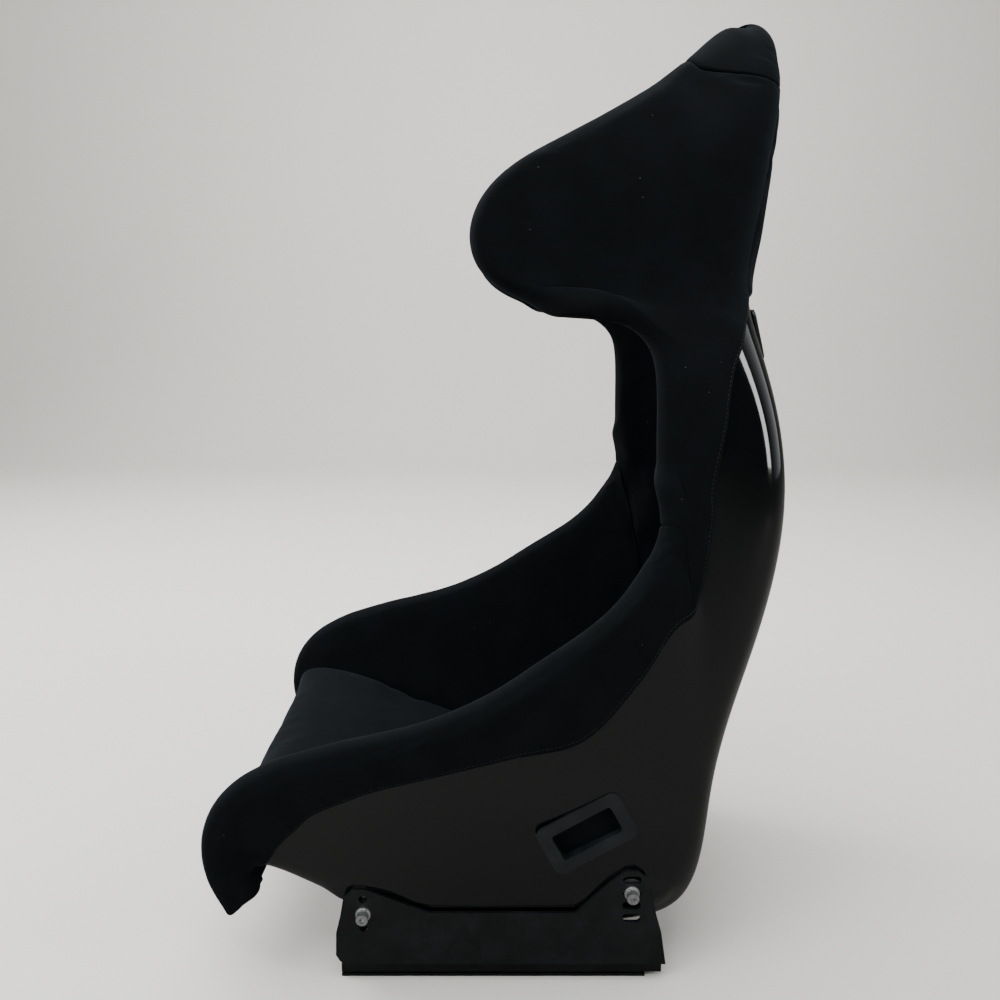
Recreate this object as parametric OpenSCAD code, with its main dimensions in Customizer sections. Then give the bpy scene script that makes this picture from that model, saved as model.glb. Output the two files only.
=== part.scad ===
// Fixed-back racing seat: moulded shell, sewn pads, side brackets, slide rails.
// Left side is +X, the front of the seat is -Y, the floor is Z = 0.

/* [Overall size] */
// Height from the floor to the top of the head roll in mm
seat_height = 1000; // [880:10:1120]
// Width over the thigh bolsters in mm
seat_width = 520; // [460:5:600]
// Depth from the front of the thighs to the back of the shell in mm
seat_depth = 620; // [550:5:690]

/* [Shell] */
// Wall of the moulded shell in mm
shell_wall = 4; // [3:0.5:6]
// Number of facet rows along the shell
shell_rows = 46; // [24:2:60]
// Number of facet columns across the shell
shell_cols = 40; // [20:4:48]

/* [Pads] */
// Air left between a pad and the shell in mm
pad_gap = 1.6; // [1:0.1:2.5]
// Thickness of the seat cushion in mm
cushion_thick = 30; // [20:1:36]
// Thickness of the back pads in mm
back_thick = 18; // [10:1:26]
// Thickness of the side bolsters inside the shell in mm
bolster_thick = 17; // [10:1:24]
// Radius of the roll over the shell rim in mm
rim_roll = 15; // [9:1:18]
// Thickness of the wing pads beside the head in mm
wing_thick = 22; // [14:1:28]
// Thickness of the outer cover behind the head in mm
head_cover = 11; // [5:1:14]
// Thickness of the cloth wrapped over the outside of the rim in mm
wrap_thick = 2.6; // [2:0.1:4]

/* [Belt slots] */
// Width of the lap belt openings in mm
lap_slot_w = 70; // [60:1:85]
// Height of the lap belt openings in mm
lap_slot_h = 33; // [25:1:40]
// Tilt of the lap belt openings in degrees
lap_tilt = 28; // [10:1:40]
// Width of the shoulder belt openings in mm
shoulder_slot_w = 58; // [50:1:68]
// Height of the shoulder belt openings in mm
shoulder_slot_h = 32; // [25:1:40]
// Distance between the shoulder belt openings, centre to centre, in mm
shoulder_pitch = 130; // [115:5:150]
// Width of the opening for the crotch belts in mm
crotch_slot_w = 70; // [60:2:100]
// Width of the frame round a belt opening in mm
bezel_rim = 14; // [8:1:18]

/* [Side brackets] */
// Distance between the front and rear side bolts in mm
side_bolt_pitch = 290; // [270:5:300]
// Thickness of the bracket plate in mm
plate = 4; // [3:0.5:6]
// Thread diameter of the side bolts in mm
bolt_d = 8; // [6:1:10]
// Height of the front side bolt above the floor in mm
front_bolt_z = 83; // [78:1:95]
// Height of the rear side bolt above the floor in mm
rear_bolt_z = 108; // [96:1:115]

/* [Slide rails] */
// Length of the upper rails in mm
upper_len = 353; // [330:1:370]
// Length of the lower rails in mm
lower_len = 335; // [310:1:350]
// Spacing of the floor bolts from front to back in mm
floor_pitch = 280; // [240:5:300]
// Pitch of the latch slots in mm
latch_pitch = 12; // [10:1:16]

/* [Hidden] */
$fn = 32;
kx = seat_width / 520;
ky = seat_depth / 620;
kz = seat_height / 1000;
half = shell_wall / 2;
g = half + pad_gap;
e = 0.01;

// Stations from the front lip along the pan, up the back to the top of the head:
// spine y, spine z, flat half width, side x, rim x, rim y, rim z
STATIONS = [
  [-256,  120, 190, 228, 236, -284, 102], [-266, 137, 190, 230, 243, -299, 150],
  [-254, 146, 190, 228, 247, -292, 205], [-212, 112, 188, 214, 250, -255, 248],
  [-140,  62, 184, 206, 252, -170, 280], [ -40,  46, 182, 206, 253,  -80, 298],
  [  70,  42, 182, 206, 252,    2, 336], [ 160,  43, 180, 205, 245,   70, 384],
  [ 212,  60, 175, 203, 234,  130, 424], [ 230, 120, 168, 202, 222,  161, 466],
  [ 234, 195, 160, 198, 208,  186, 503], [ 252, 275, 156, 195, 199,  184, 542],
  [ 280, 360, 154, 193, 196,  170, 578], [ 301, 445, 152, 192, 197,  170, 620],
  [ 309, 530, 148, 190, 197,  170, 665], [ 298, 615, 138, 184, 192,  160, 706],
  [ 277, 690, 120, 172, 184,  112, 742], [ 266, 735, 108, 165, 182,   40, 738],
  [ 266, 775, 105, 162, 181,  -18, 764], [ 270, 820, 103, 160, 180,  -20, 822],
  [ 276, 865, 101, 157, 176,   30, 866], [ 280, 910,  99, 148, 164,  110, 900],
  [ 280, 945,  94, 134, 146,  180, 939], [ 271, 977,  84, 112, 116,  243, 976]];
NS = len(STATIONS);

function at(r, x, f) = [x * kx, (r[0] + f * (r[5] - r[0])) * ky,
                        (r[1] + f * (r[6] - r[1])) * kz];
function halfrow(r) = [at(r, 0, 0), at(r, r[2] * 0.5, 0), at(r, r[2], 0),
  at(r, r[3], 0.12), at(r, r[3] + 0.25 * (r[4] - r[3]), 0.42),
  at(r, r[3] + 0.68 * (r[4] - r[3]), 0.75), at(r, r[4], 1)];
function flip(p) = [-p[0], p[1], p[2]];
function fullrow(h) = [flip(2 * h[6] - h[5]), for (i = [6:-1:1]) flip(h[i]),
                       for (i = [0:6]) h[i], 2 * h[6] - h[5]];
MID = [for (r = STATIONS) fullrow(halfrow(r))];
NET = [2 * MID[0] - MID[1], for (m = MID) m, 2 * MID[NS - 1] - MID[NS - 2]];
NT = 13;

// Cubic surface through the control net; s runs along, t from -1 (right) to 1 (left)
function w4(f) = [pow(1 - f, 3), 3 * f * f * f - 6 * f * f + 4,
                  -3 * f * f * f + 3 * f * f + 3 * f + 1, f * f * f] / 6;
function lim(v, a, b) = max(a, min(b, v));
function surf(s, t) = let (sc = lim(s, 0, NS - 1), u = lim((t + 1) / 2 * (NT - 1), 0, NT - 1),
    i = min(floor(sc), NS - 2), j = min(floor(u), NT - 2), a = w4(sc - i), b = w4(u - j))
  a[0] * (b[0] * NET[i][j] + b[1] * NET[i][j+1] + b[2] * NET[i][j+2] + b[3] * NET[i][j+3]) +
  a[1] * (b[0] * NET[i+1][j] + b[1] * NET[i+1][j+1] + b[2] * NET[i+1][j+2] + b[3] * NET[i+1][j+3]) +
  a[2] * (b[0] * NET[i+2][j] + b[1] * NET[i+2][j+1] + b[2] * NET[i+2][j+2] + b[3] * NET[i+2][j+3]) +
  a[3] * (b[0] * NET[i+3][j] + b[1] * NET[i+3][j+1] + b[2] * NET[i+3][j+2] + b[3] * NET[i+3][j+3]);
function unit(v) = v / norm(v);
function along(s, t) = unit(surf(min(s + 0.02, NS - 1), t) - surf(max(s - 0.02, 0), t));
function across(s, t) = unit(surf(s, min(t + 0.01, 1)) - surf(s, max(t - 0.01, -1)));
function nrm(s, t) = unit(cross(across(s, t), along(s, t)));
// Point at distance d from the middle of the shell wall, towards the driver
function off(s, t, d) = surf(s, t) + d * nrm(s, t);
function lerp(a, b, f) = a + (b - a) * f;
// Rounded pad section: 0 at the edges of 0..1 and 1 over the middle
function crown(x, r) = let (q = min(x, 1 - x) / r) q >= 1 ? 1 : sqrt(max(0, 1 - (1 - q) * (1 - q)));

// Closed solid between two grids of points with the same rows and columns
module thick(A, B) {
  m = len(A); n = len(A[0]); k = m * n;
  pts = concat([for (r = A) for (p = r) p], [for (r = B) for (p = r) p]);
  faces = concat(
    [for (i = [0:m-2]) for (j = [0:n-2]) for (q = [0, 1])
      q == 0 ? [i*n+j, i*n+j+1, (i+1)*n+j+1] : [i*n+j, (i+1)*n+j+1, (i+1)*n+j]],
    [for (i = [0:m-2]) for (j = [0:n-2]) for (q = [0, 1])
      q == 0 ? [k+i*n+j, k+(i+1)*n+j+1, k+i*n+j+1] : [k+i*n+j, k+(i+1)*n+j, k+(i+1)*n+j+1]],
    [for (j = [0:n-2]) for (q = [0, 1])
      q == 0 ? [j, k+j, k+j+1] : [j, k+j+1, j+1]],
    [for (j = [0:n-2]) for (q = [0, 1])
      q == 0 ? [(m-1)*n+j, k+(m-1)*n+j+1, k+(m-1)*n+j] : [(m-1)*n+j, (m-1)*n+j+1, k+(m-1)*n+j+1]],
    [for (i = [0:m-2]) for (q = [0, 1])
      q == 0 ? [i*n, k+(i+1)*n, k+i*n] : [i*n, (i+1)*n, k+(i+1)*n]],
    [for (i = [0:m-2]) for (q = [0, 1])
      q == 0 ? [i*n+n-1, k+i*n+n-1, k+(i+1)*n+n-1] : [i*n+n-1, k+(i+1)*n+n-1, (i+1)*n+n-1]]);
  polyhedron(points = pts, faces = faces, convexity = 8);
}

// Grid lines of the shell that fall between two ends, so that pads lie parallel to its facets
function lines(a, b, lo, hi, n) = concat([a],
  [for (j = [0:n-1]) let (v = lo + (hi - lo) * j / (n - 1)) if (v > a + 0.018 && v < b - 0.018) v], [b]);
function back(v) = [for (i = [len(v)-1:-1:0]) v[i]];
function rows(a, b) = lines(a, b, 0, NS - 1, shell_rows);
function cols(a, b) = lines(a, b, -1, 1, shell_cols);
// Pad on the driver's side of the shell: thin round the edge, full in the middle
module pad(s0, s1, t0, t1, h, edge = 0.35)
  thick([for (u = rows(s0, s1)) [for (t = cols(t0, t1)) off(u, t, g + h * (edge + (1 - edge) *
          min(crown((u - s0) / (s1 - s0), 0.16), crown((t - t0) / (t1 - t0), 0.16))))]],
        [for (u = rows(s0, s1)) [for (t = cols(t0, t1)) off(u, t, g)]]);

// Sections round the left rim: an inner arm, a roll past the edge and an outer arm
function rim(s, w, d) = let (n = nrm(s, 0.999), b = unit(cross(along(s, 1), n)))
  surf(s, 1) + w * b + d * n;
// Height of the wrap over its own width: inner arm, roll, outer arm
function wrap_out(s, ti, to, hi, ho, r) = concat(
  [for (t = cols(ti, 0.999)) let (f = (t - ti) / (1 - ti)) off(s, t,
      g + lerp(hi, 2 * r - 2 * g - ho, f) * (t == ti ? 0.35 : 1))],
  [for (a = [15:30:165]) rim(s, r * sin(a), r * cos(a) + r - g - ho)],
  [for (t = back(cols(to, 0.999))) off(s, t, -g - ho * (t == to ? 0.4 : 1))]);
function wrap_in(s, ti, to) = concat(
  [for (t = cols(ti, 0.999)) off(s, t, g)],
  [for (a = [15:30:165]) rim(s, pad_gap, g * cos(a))],
  [for (t = back(cols(to, 0.999))) off(s, t, -g)]);
module wrap(s0, s1, ti, to, hi, ho, r0, r1)
  thick([for (u = rows(s0, s1)) let (f = (u - s0) / (s1 - s0), c = 0.8 + 0.2 * crown(f, 0.12))
          wrap_out(u, ti, to, hi * c, ho * c, lerp(r0, r1, f) * c)],
        [for (u = rows(s0, s1)) wrap_in(u, ti, to)]);

// Places of the belt openings on the surface
lap_s = 6.68; lap_t = 0.668;
shoulder_s = 16.2; shoulder_t = 0.183 * shoulder_pitch / 130;
crotch_s = 4.3;
// Frame of axes on the left or centre surface: x across, y up the shell, z to the driver
module on_shell(s, t, d = 0, turn = 0) {
  p = surf(s, t); n = nrm(s, t); a = across(s, t); v = cross(n, a);
  multmatrix([[a[0], v[0], n[0], p[0]], [a[1], v[1], n[1], p[1]],
              [a[2], v[2], n[2], p[2]], [0, 0, 0, 1]])
    rotate([0, 0, turn]) translate([0, 0, d]) children();
}
// Side opening: x forward along the seat, z towards the driver
module on_side(d = 0) {
  p = surf(lap_s, lap_t);
  translate(p) rotate([lap_tilt, 0, 0]) rotate([0, 0, 4]) rotate([0, -84, 0])
    rotate([0, 0, 90]) translate([0, 0, d]) children();
}
module rrect(w, h, r) {
  square([w - 2 * r, h], center = true);
  square([w, h - 2 * r], center = true);
  for (x = [-1, 1]) for (y = [-1, 1]) translate([x * (w / 2 - r), y * (h / 2 - r)]) circle(r);
}
module block(w, h, r, z0, z1) translate([0, 0, z0]) linear_extrude(z1 - z0) rrect(w, h, r);
// Frame round a belt opening with a short sleeve through the shell
module bezel(w, h, rim, rise, deep) difference() {
  union() {
    block(w + 2 * rim, h + 2 * rim, rim * 0.7, -half - rise, -half - rise + 3);
    block(w + 7, h + 7, 6, -half - rise + 1, deep);
  }
  block(w, h, 4, -30, 30);
}
module both() { children(); mirror([1, 0, 0]) children(); }

plate_in = 211 * kx;
plate_out = plate_in + plate;
bolt_y = side_bolt_pitch / 2;
rail_x = 187 * kx;
rail_w = 36;
rail_h = 21;
upper_y0 = -172;
lower_y0 = -172;
floor_y = floor_pitch / 2;

module shell_mesh() {
  m = shell_rows; n = shell_cols;
  thick([for (i = [0:m-1]) [for (j = [0:n-1]) off((NS-1)*i/(m-1), -1 + 2*j/(n-1), half)]],
        [for (i = [0:m-1]) [for (j = [0:n-1]) off((NS-1)*i/(m-1), -1 + 2*j/(n-1), -half)]]);
}
module bolt_holes(r) for (b = [[-bolt_y, front_bolt_z], [bolt_y, rear_bolt_z]])
  translate([150 * kx, b[0], b[1]]) rotate([0, 90, 0]) cylinder(r = r, h = 75 * kx);
module shell() color([0.03, 0.03, 0.035]) difference() {
  shell_mesh();
  both() {
    on_side() block(lap_slot_w + 8, lap_slot_h + 8, 6.5, -30, 30);
    on_shell(shoulder_s, shoulder_t) block(shoulder_slot_w + 8, shoulder_slot_h + 8, 6.5, -20, 20);
    bolt_holes(9.2);
  }
  on_shell(crotch_s, 0) block(crotch_slot_w + 8, 38, 6.5, -20, 20);
}

// Cushion and back pads on the driver's side; the cushion is deepest under the thighs
function cushion_high(f) = f < 0.2 ? lerp(cushion_thick + 14, cushion_thick + 22, f / 0.2) :
  f < 0.45 ? lerp(cushion_thick + 22, cushion_thick + 44, sin((f - 0.2) / 0.25 * 90)) :
  lerp(cushion_thick + 44, cushion_thick - 4, 1 - pow(1 - (f - 0.45) / 0.55, 1.6));
module seat_cushion() color([0.05, 0.05, 0.055]) difference() {
  s0 = 0.25; s1 = 7.9; w = 0.39;
  thick([for (u = rows(s0, s1)) let (f = (u - s0) / (s1 - s0)) [for (t = cols(-w, w))
          off(u, t, g + cushion_high(f) * (0.4 + 0.6 * min(crown(f, 0.14), crown((t + w) / (2 * w), 0.2))))]],
        [for (u = rows(s0, s1)) [for (t = cols(-w, w)) off(u, t, g)]]);
  both() bolt_holes(16);
  on_shell(crotch_s, 0) block(crotch_slot_w + 10, 41, 8, -20, 8);
  on_shell(crotch_s, 0) block(crotch_slot_w - 2, 30, 8, -20, 130);
}
module lumbar_pad() color([0.05, 0.05, 0.055]) pad(8.3, 12.0, -0.36, 0.36, back_thick + 6);
module back_pad() color([0.05, 0.05, 0.055]) pad(12.15, 15.6, -0.36, 0.36, back_thick);
module head_pad() color([0.05, 0.05, 0.055]) pad(16.8, 22.3, -0.37, 0.37, back_thick + 4);
module head_back_cover() color([0.05, 0.05, 0.055])
  thick([for (u = rows(17.05, 22.3)) [for (t = cols(-0.35, 0.35)) off(u, t, -g)]],
        [for (u = rows(17.05, 22.3)) [for (t = cols(-0.35, 0.35)) off(u, t, -g - head_cover *
          (0.35 + 0.65 * min(crown((u - 17.05) / 5.25, 0.15), crown((t + 0.35) / 0.7, 0.15))))]]);

// Bolsters wrapped over the rim, left side
module thigh_wrap() color([0.05, 0.05, 0.055])
  difference() {
    wrap(0.15, 9.3, 0.44, 0.80, bolster_thick, wrap_thick, rim_roll - 3, rim_roll - 2);
    bolt_holes(16);
    on_side() block(lap_slot_w + 14, lap_slot_h + 14, 8, -30, 50);
  }
module torso_wrap() color([0.05, 0.05, 0.055])
  wrap(9.5, 16.1, 0.40, 0.55, bolster_thick, wrap_thick, rim_roll - 2, rim_roll - 1);
module wing_wrap() color([0.05, 0.05, 0.055])
  wrap(17.0, 22.3, 0.40, 0.38, wing_thick, head_cover, rim_roll + 1, rim_roll + 1);

module thigh_bolster_left() thigh_wrap();
module thigh_bolster_right() mirror([1, 0, 0]) thigh_wrap();
module torso_bolster_left() torso_wrap();
module torso_bolster_right() mirror([1, 0, 0]) torso_wrap();
module wing_pad_left() wing_wrap();
module wing_pad_right() mirror([1, 0, 0]) wing_wrap();

// Roll over the top edge of the head, and the cover over the front lip
function edge(s, t, w, d) = let (n = nrm(s, t), a = along(s, t)) surf(s, t) + w * a + d * n;
module head_top_roll() color([0.05, 0.05, 0.055]) {
  r = rim_roll + 9; T = NS - 1;
  thick([for (t = cols(-1, 1)) concat(
          [for (u = rows(T - 0.55, T - 0.001)) off(u, t, lerp(wing_thick, 2 * r - 2 * g - head_cover, (u - T) / 0.55 + 1))],
          [for (a = [15:30:165]) edge(T, t, r * sin(a), r * cos(a) + r - g - head_cover)],
          [for (u = back(rows(T - 0.55, T - 0.001))) off(u, t, -g - head_cover)])],
        [for (t = cols(-1, 1)) concat(
          [for (u = rows(T - 0.55, T - 0.001)) off(u, t, g)],
          [for (a = [15:30:165]) edge(T, t, pad_gap, g * cos(a))],
          [for (u = back(rows(T - 0.55, T - 0.001))) off(u, t, -g)])]);
}

// Frames round the belt openings
module lap_bezel() color([0.04, 0.04, 0.045]) on_side() bezel(lap_slot_w, lap_slot_h, bezel_rim, 4, 12);
module lap_bezel_left() lap_bezel();
module lap_bezel_right() mirror([1, 0, 0]) lap_bezel();
module shoulder_bezel() color([0.04, 0.04, 0.045])
  on_shell(shoulder_s, shoulder_t) bezel(shoulder_slot_w, shoulder_slot_h, 11, 3.6, 4);
module shoulder_bezel_left() shoulder_bezel();
module shoulder_bezel_right() mirror([1, 0, 0]) shoulder_bezel();
module crotch_bezel() color([0.04, 0.04, 0.045])
  on_shell(crotch_s, 0) bezel(crotch_slot_w, 30, 12, 3.6, 5);

// Bracket plates, side bolts, washers and inserts
module bracket_profile() {
  difference() {
    union() {
      polygon([[-176, 33], [-172, 26], [-166, 22], [184, 22], [178, 61], [172, 82], [166, 112],
               [160, 126], [150, 134], [138, 134], [122, 122], [84, 84], [-73, 84], [-128, 106],
               [-142, 112], [-156, 112], [-166, 102], [-170, 80], [-175, 60]]);
    }
    for (k = [-1, 0, 1]) translate([-bolt_y, front_bolt_z + k * 17]) circle(bolt_d / 2 + 0.5);
    for (k = [-2, -1, 0, 1]) translate([bolt_y, rear_bolt_z + k * 15]) {
      square([11, bolt_d + 1], center = true);
      for (x = [-5.5, 5.5]) translate([x, 0]) circle(bolt_d / 2 + 0.5);
    }
  }
}
module side_bracket() color([0.06, 0.06, 0.065]) {
  translate([plate_in, 0, 0]) rotate([90, 0, 90]) linear_extrude(plate) bracket_profile();
  difference() {
    translate([plate_in - 40, -160, rail_h + 0.5]) cube([40 + e, 336, plate]);
    for (y = [-115, 115]) translate([rail_x, y, 0]) cylinder(r = 4.3, h = 40);
  }
}
module side_bracket_left() side_bracket();
module side_bracket_right() mirror([1, 0, 0]) side_bracket();
module at_side_bolts() both() for (b = [[-bolt_y, front_bolt_z], [bolt_y, rear_bolt_z]])
  translate([plate_out, b[0], b[1]]) rotate([0, 90, 0]) children();
module side_bolts() color([0.72, 0.72, 0.74]) at_side_bolts() difference() {
  union() {
    translate([0, 0, -15]) cylinder(d = bolt_d, h = 15 + 4.3);
    translate([0, 0, 4.2]) cylinder(r = bolt_d * 0.8, h = bolt_d);
  }
  translate([0, 0, 4.2 + bolt_d * 0.45]) cylinder(r = bolt_d * 0.43, h = 10, $fn = 6);
}
module flat_washers() color([0.75, 0.75, 0.77]) at_side_bolts() difference() {
  cylinder(r = bolt_d + 0.2, h = 1.8);
  translate([0, 0, -1]) cylinder(r = bolt_d / 2 + 0.3, h = 4);
}
module spring_washers() color([0.68, 0.68, 0.7]) at_side_bolts() difference() {
  translate([0, 0, 2]) cylinder(r = bolt_d * 0.85, h = 2);
  cylinder(r = bolt_d / 2 + 0.3, h = 6);
  translate([0, -0.9, 1.9]) cube([12, 1.8, 2.2]);
}
module thread_inserts() color([0.55, 0.55, 0.57]) at_side_bolts() difference() {
  union() {
    translate([0, 0, -plate - 2.8]) cylinder(r = 14, h = 2.6);
    translate([0, 0, -plate - 13]) cylinder(r = 9, h = 12);
  }
  translate([0, 0, -40]) cylinder(r = bolt_d / 2 + 0.05, h = 50);
}
module flange_screws() color([0.2, 0.2, 0.21]) both() for (y = [-115, 115])
  translate([rail_x, y, rail_h + 0.6 + plate]) difference() {
    union() {
      cylinder(r1 = 7, r2 = 5.5, h = 4);
      translate([0, 0, -7.5]) cylinder(r = 4, h = 8);
    }
    translate([0, 0, 1.6]) cylinder(r = 2.9, h = 4, $fn = 6);
  }

// Slide rails: the upper channel hooks round the head of the lower rail
module upper_rail() color([0.09, 0.09, 0.095]) translate([rail_x, upper_y0, 0]) difference() {
  rotate([90, 0, 180]) mirror([1, 0, 0]) linear_extrude(upper_len) difference() {
    translate([-rail_w / 2, 5.5]) square([rail_w, rail_h - 5.5]);
    translate([-15.5, 8.2]) square([31, 9.8]);
    translate([-9.5, 5]) square([19, 4]);
  }
  for (y = [-115, 115]) translate([0, y - upper_y0, 10]) cylinder(r = 4.05, h = 20);
}
module upper_rail_left() upper_rail();
module upper_rail_right() mirror([1, 0, 0]) upper_rail();
module lower_rail() color([0.09, 0.09, 0.095]) translate([rail_x, lower_y0, 0]) difference() {
  rotate([90, 0, 180]) mirror([1, 0, 0]) linear_extrude(lower_len) difference() {
    union() {
      translate([-30, 0]) square([48, 3.5]);
      translate([-7.5, 3]) square([15, 13]);
      translate([-14.8, 15.3]) square([29.6, 2.6]);
    }
    translate([-5, 3.5]) square([10, 11.8]);
  }
  for (y = [-floor_y, floor_y]) translate([0, y - lower_y0, -1]) cylinder(r = 4.25, h = 8);
  for (i = [0:8]) translate([-28.5, 20 + i * latch_pitch, -1]) cube([8, 7, 6]);
}
module lower_rail_left() lower_rail();
module lower_rail_right() mirror([1, 0, 0]) lower_rail();
cage_y = [-75, -45, -15, 15, 45, 75];
module ball_cage() color([0.6, 0.6, 0.62]) translate([rail_x, -4, 0]) for (x = [-1, 1]) {
  for (y = cage_y) translate([x * 11.5, y, 11.75]) sphere(r = 3.48, $fn = 24);
  difference() {
    translate([x * 11.5 - 3, -82, 11.2]) cube([6, 164, 1]);
    for (y = cage_y) translate([x * 11.5, y, 11.75]) sphere(r = 3.4, $fn = 24);
  }
}
module ball_cage_left() ball_cage();
module ball_cage_right() mirror([1, 0, 0]) ball_cage();

// Release bar across the front under the pan, with a latch comb at each rail
pivot_y = -40; pivot_z = 14; bar_y = -162; bar_z = 29; arm_x = rail_x - 24.5;
module pivot_pins() color([0.5, 0.5, 0.52]) both() translate([rail_x - rail_w / 2, pivot_y, pivot_z])
  rotate([0, -90, 0]) {
    cylinder(r = 4, h = 10);
    translate([0, 0, 10]) cylinder(r = 6, h = 2);
  }
module latch_arm() color([0.45, 0.45, 0.47]) translate([arm_x - 2, 0, 0]) {
  rotate([90, 0, 90]) linear_extrude(4) difference() {
    union() {
      translate([pivot_y, pivot_z]) circle(8);
      polygon([[pivot_y, pivot_z - 6], [pivot_y, pivot_z + 7], [bar_y - 6, bar_z + 6],
               [bar_y - 8, bar_z - 4], [-130, 6], [-90, 6]]);
      for (i = [3:5]) translate([lower_y0 + 20.75 + i * latch_pitch, 3.9]) square([5.5, 5]);
    }
    translate([pivot_y, pivot_z]) circle(4.06);
    translate([bar_y, bar_z]) circle(5.02);
  }
}
module latch_arm_left() latch_arm();
module latch_arm_right() mirror([1, 0, 0]) latch_arm();
module release_bar() color([0.12, 0.12, 0.125]) translate([-arm_x - 4, bar_y, bar_z])
  rotate([0, 90, 0]) cylinder(r = 5, h = 2 * arm_x + 8);
module bar_grip() color([0.07, 0.07, 0.07]) translate([-60, bar_y, bar_z]) rotate([0, 90, 0])
  difference() {
    cylinder(r = 8.5, h = 120);
    translate([0, 0, -1]) cylinder(r = 5.02, h = 122);
  }

shell();
seat_cushion();
lumbar_pad();
back_pad();
head_pad();
head_back_cover();
thigh_bolster_left();
thigh_bolster_right();
torso_bolster_left();
torso_bolster_right();
wing_pad_left();
wing_pad_right();
head_top_roll();
lap_bezel_left();
lap_bezel_right();
shoulder_bezel_left();
shoulder_bezel_right();
crotch_bezel();
side_bracket_left();
side_bracket_right();
side_bolts();
flat_washers();
spring_washers();
thread_inserts();
flange_screws();
upper_rail_left();
upper_rail_right();
lower_rail_left();
lower_rail_right();
ball_cage_left();
ball_cage_right();
pivot_pins();
latch_arm_left();
latch_arm_right();
release_bar();
bar_grip();
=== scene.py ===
"""Fixed-back racing seat: moulded shell, sewn velour covers, side brackets and slide rails."""
import math

import bmesh
import bpy
import numpy as np
from mathutils import Matrix, Vector
from mathutils.bvhtree import BVHTree


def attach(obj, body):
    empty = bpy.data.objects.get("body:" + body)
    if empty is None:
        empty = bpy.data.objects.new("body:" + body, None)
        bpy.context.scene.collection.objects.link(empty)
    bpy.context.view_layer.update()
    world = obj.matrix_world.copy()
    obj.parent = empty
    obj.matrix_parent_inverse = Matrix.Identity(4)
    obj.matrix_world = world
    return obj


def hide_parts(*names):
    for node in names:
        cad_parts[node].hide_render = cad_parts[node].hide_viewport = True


bl_info = {
    "name": "Racing seat",
    "version": (1, 0, 0),
    "blender": (4, 5, 0),
    "location": "View3D > Sidebar > Racing seat",
    "description": "Builds a fixed-back racing seat around its packed frame",
    "category": "Object",
}

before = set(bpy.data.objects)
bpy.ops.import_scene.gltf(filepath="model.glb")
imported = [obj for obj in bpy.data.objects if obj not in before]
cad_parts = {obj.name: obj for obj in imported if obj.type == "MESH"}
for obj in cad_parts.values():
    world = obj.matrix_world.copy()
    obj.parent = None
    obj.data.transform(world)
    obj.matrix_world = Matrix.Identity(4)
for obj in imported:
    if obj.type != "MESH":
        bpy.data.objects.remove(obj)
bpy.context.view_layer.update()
MM = 0.001

# Stations of the moulded shell, front lip to head top, in mm:
# spine y, spine z, flat half width, side x, rim x, rim y, rim z
STATIONS = np.array([
    [-256, 120, 190, 228, 236, -284, 102], [-266, 137, 190, 230, 243, -299, 150],
    [-254, 146, 190, 228, 247, -292, 205], [-212, 112, 188, 214, 250, -255, 248],
    [-140, 62, 184, 206, 252, -170, 280], [-40, 46, 182, 206, 253, -80, 298],
    [70, 42, 182, 206, 252, 2, 336], [160, 43, 180, 205, 245, 70, 384],
    [212, 60, 175, 203, 234, 130, 424], [230, 120, 168, 202, 222, 161, 466],
    [234, 195, 160, 198, 208, 186, 503], [252, 275, 156, 195, 199, 184, 542],
    [280, 360, 154, 193, 196, 170, 578], [301, 445, 152, 192, 197, 170, 620],
    [309, 530, 148, 190, 197, 170, 665], [298, 615, 138, 184, 192, 160, 706],
    [277, 690, 120, 172, 184, 112, 742], [266, 735, 108, 165, 182, 40, 738],
    [266, 775, 105, 162, 181, -18, 764], [270, 820, 103, 160, 180, -20, 822],
    [276, 865, 101, 157, 176, 30, 866], [280, 910, 99, 148, 164, 110, 900],
    [280, 945, 94, 134, 146, 180, 939], [271, 977, 84, 112, 116, 243, 976]], float)
LAST = len(STATIONS) - 1
WALL = 2.0          # half the shell wall, mm
GAP = 2.4           # cover to the middle of the shell wall, mm


# ---------------------------------------------------------------- surface of the shell
def control_net():
    """Rows of control points across the shell, right rim to left rim, padded by one all round."""
    rows = []
    for yc, zc, flat, side, rx, ry, rz in STATIONS:
        def at(x, f):
            return np.array([x, yc + f * (ry - yc), zc + f * (rz - zc)])
        half = [at(0, 0), at(flat * 0.5, 0), at(flat, 0), at(side, 0.12),
                at(side + 0.25 * (rx - side), 0.42), at(side + 0.68 * (rx - side), 0.75), at(rx, 1)]
        rows.append([p * np.array([-1, 1, 1]) for p in half[:0:-1]] + half)
    net = np.array(rows)
    net = np.concatenate([2 * net[:1] - net[1:2], net, 2 * net[-1:] - net[-2:-1]], 0)
    return np.concatenate([2 * net[:, :1] - net[:, 1:2], net, 2 * net[:, -1:] - net[:, -2:-1]], 1)


NET = control_net()
ACROSS = NET.shape[1] - 3


def spline_weights(u, n):
    """Span and the four weights of a uniform cubic B-spline at u, from 0 to n."""
    u = np.clip(u, 0, n - 1e-9)
    i = np.floor(u).astype(int)
    f = u - i
    return i, np.stack([(1 - f) ** 3, 3 * f ** 3 - 6 * f ** 2 + 4,
                        -3 * f ** 3 + 3 * f ** 2 + 3 * f + 1, f ** 3], -1) / 6


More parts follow.
